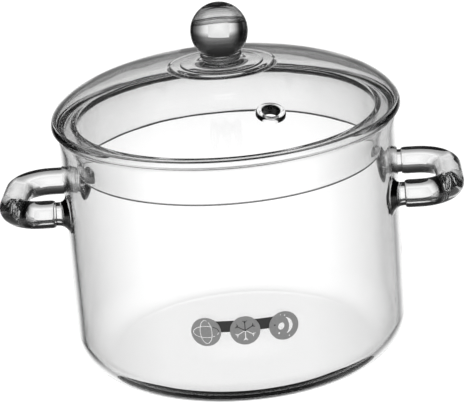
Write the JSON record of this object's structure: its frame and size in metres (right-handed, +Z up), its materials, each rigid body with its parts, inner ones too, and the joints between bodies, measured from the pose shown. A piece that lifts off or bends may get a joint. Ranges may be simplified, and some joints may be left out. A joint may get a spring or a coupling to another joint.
{
  "type": "saucepan with lid",
  "caption": "Round clear glass saucepan with two loop handles and a lift-off domed glass lid that has a ball knob and a steam vent.",
  "frame": {"origin": "middle of the pot's resting ring, on the surface it stands on", "axes": "+Z up along the pot's axis, +X through the right handle, -Y the front with the printed badges"},
  "size_m": [0.2314, 0.173, 0.181],
  "materials": {
    "pot_glass": "clear blown borosilicate, fire-polished",
    "lid_glass": "clear blown borosilicate, fire-polished",
    "grey_enamel": "grey printing enamel fired onto the glass",
    "dark_enamel": "dark printing enamel fired onto the glass"
  },
  "bodies": {
    "pot": {"pot_body": "pot_glass", "handle_left": "pot_glass", "handle_left_front_foot": "pot_glass", "handle_left_rear_foot": "pot_glass", "handle_right": "pot_glass", "handle_right_front_foot": "pot_glass", "handle_right_rear_foot": "pot_glass", "print_band": "dark_enamel", "print_rings": "grey_enamel", "print_snowflake": "grey_enamel", "print_moon": "grey_enamel"},
    "lid": {"lid_dome": "lid_glass", "lid_rim": "lid_glass", "lid_skirt": "lid_glass", "vent_ring": "lid_glass", "knob_boss": "lid_glass", "knob_collar": "lid_glass", "knob_ball": "lid_glass"}
  },
  "joints": [
    {"name": "lid_lift", "type": "slide", "parent": "pot", "child": "lid", "axis": [0, 0, 1], "range_m": [0, 0.08]}
  ]
}
